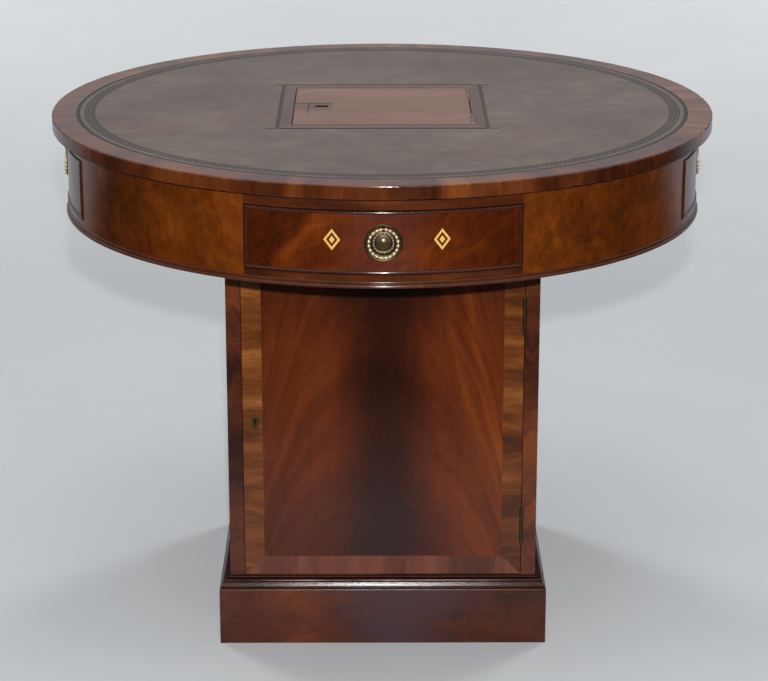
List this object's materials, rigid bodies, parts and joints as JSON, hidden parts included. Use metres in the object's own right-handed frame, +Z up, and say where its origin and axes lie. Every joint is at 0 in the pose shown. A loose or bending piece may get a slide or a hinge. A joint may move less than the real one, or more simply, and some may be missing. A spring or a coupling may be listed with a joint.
{
  "type": "rent table",
  "caption": "Round leather-topped drum with drawers and a lidded well, turning on a square cupboard pedestal with a moulded plinth.",
  "frame": {"origin": "middle of the plinth's underside, on the floor", "axes": "+Z up; the cupboard door faces -Y; +X is to the right of someone facing the door"},
  "size_m": [0.9898, 0.9898, 0.7752],
  "materials": {
    "mahogany": "french polished",
    "flame_mahogany": "french polished",
    "figured_mahogany": "french polished",
    "crossbanded_mahogany": "french polished",
    "lining_wood": "satin",
    "leather": "waxed, blind tooled border",
    "brass": "antique",
    "steel": "oiled"
  },
  "bodies": {
    "pedestal": {"plinth_boards": "mahogany", "plinth_blocks": "lining_wood", "plinth_moulding": "mahogany", "pedestal_sides": "mahogany", "pedestal_back": "mahogany", "pedestal_floor": "lining_wood", "pedestal_shelf": "lining_wood", "pedestal_ceiling": "lining_wood", "face_frame": "crossbanded_mahogany", "door_hinge_leaves": "brass", "door_strike": "brass", "swivel_lower_plate": "steel", "swivel_spindle": "steel", "swivel_nut": "steel"},
    "drum": {"top_board": "lining_wood", "top_rim": "crossbanded_mahogany", "top_leather": "leather", "lid_surround": "crossbanded_mahogany", "apron_panels": "figured_mahogany", "drawer_rails": "mahogany", "base_bead": "mahogany", "drum_board": "lining_wood", "drawer_partitions": "lining_wood", "well_walls": "lining_wood", "well_floor": "lining_wood", "swivel_upper_plate": "steel", "lid_hinge_leaves": "brass", "lid_strike": "brass"},
    "door": {"door_panel": "flame_mahogany", "door_crossband": "crossbanded_mahogany", "door_hinge_flaps": "brass", "door_escutcheon": "brass", "door_lock": "steel"},
    "door_bolt": {"door_bolt": "steel"},
    "lid": {"lid_panel": "flame_mahogany", "lid_hinge_flaps": "brass", "lid_plate": "brass", "lid_lock": "steel"},
    "lid_bolt": {"lid_bolt": "steel"},
    "front_drawer": {"front_drawer_face": "flame_mahogany", "front_drawer_bead": "mahogany", "front_drawer_box": "lining_wood", "front_drawer_rosette": "brass"},
    "front_ring": {"front_drawer_ring": "brass"},
    "right_drawer": {"right_drawer_face": "flame_mahogany", "right_drawer_bead": "mahogany", "right_drawer_box": "lining_wood", "right_drawer_rosette": "brass"},
    "right_ring": {"right_drawer_ring": "brass"},
    "back_drawer": {"back_drawer_face": "flame_mahogany", "back_drawer_bead": "mahogany", "back_drawer_box": "lining_wood", "back_drawer_rosette": "brass"},
    "back_ring": {"back_drawer_ring": "brass"},
    "left_drawer": {"left_drawer_face": "flame_mahogany", "left_drawer_bead": "mahogany", "left_drawer_box": "lining_wood", "left_drawer_rosette": "brass"},
    "left_ring": {"left_drawer_ring": "brass"}
  },
  "joints": [
    {"name": "drum_swivel", "type": "hinge", "parent": "pedestal", "child": "drum", "pos_m": [0, 0, 0.631], "axis": [0, 0, 1], "continuous": true},
    {"name": "door_hinge", "type": "hinge", "parent": "pedestal", "child": "door", "pos_m": [0.20675, -0.22875, 0.35185], "axis": [0, 0, 1], "range_deg": [0, 110]},
    {"name": "door_bolt_slide", "type": "slide", "parent": "door", "child": "door_bolt", "axis": [-1, 0, 0], "range_m": [0, 0.007]},
    {"name": "lid_hinge", "type": "hinge", "parent": "drum", "child": "lid", "pos_m": [0.13265, 0, 0.773], "axis": [0, 1, 0], "range_deg": [0, 100]},
    {"name": "lid_bolt_slide", "type": "slide", "parent": "lid", "child": "lid_bolt", "axis": [-1, 0, 0], "range_m": [0, 0.007]},
    {"name": "front_drawer_slide", "type": "slide", "parent": "drum", "child": "front_drawer", "axis": [0, -1, 0], "range_m": [0, 0.17]},
    {"name": "front_ring_swing", "type": "hinge", "parent": "front_drawer", "child": "front_ring", "pos_m": [0, -0.4773, 0.7088], "axis": [-1, 0, 0], "range_deg": [0, 90]},
    {"name": "right_drawer_slide", "type": "slide", "parent": "drum", "child": "right_drawer", "axis": [1, 0, 0], "range_m": [0, 0.17]},
    {"name": "right_ring_swing", "type": "hinge", "parent": "right_drawer", "child": "right_ring", "pos_m": [0.4773, 0, 0.7088], "axis": [0, -1, 0], "range_deg": [0, 90]},
    {"name": "back_drawer_slide", "type": "slide", "parent": "drum", "child": "back_drawer", "axis": [0, 1, 0], "range_m": [0, 0.17]},
    {"name": "back_ring_swing", "type": "hinge", "parent": "back_drawer", "child": "back_ring", "pos_m": [0, 0.4773, 0.7088], "axis": [1, 0, 0], "range_deg": [0, 90]},
    {"name": "left_drawer_slide", "type": "slide", "parent": "drum", "child": "left_drawer", "axis": [-1, 0, 0], "range_m": [0, 0.17]},
    {"name": "left_ring_swing", "type": "hinge", "parent": "left_drawer", "child": "left_ring", "pos_m": [-0.4773, 0, 0.7088], "axis": [0, 1, 0], "range_deg": [0, 90]}
  ]
}
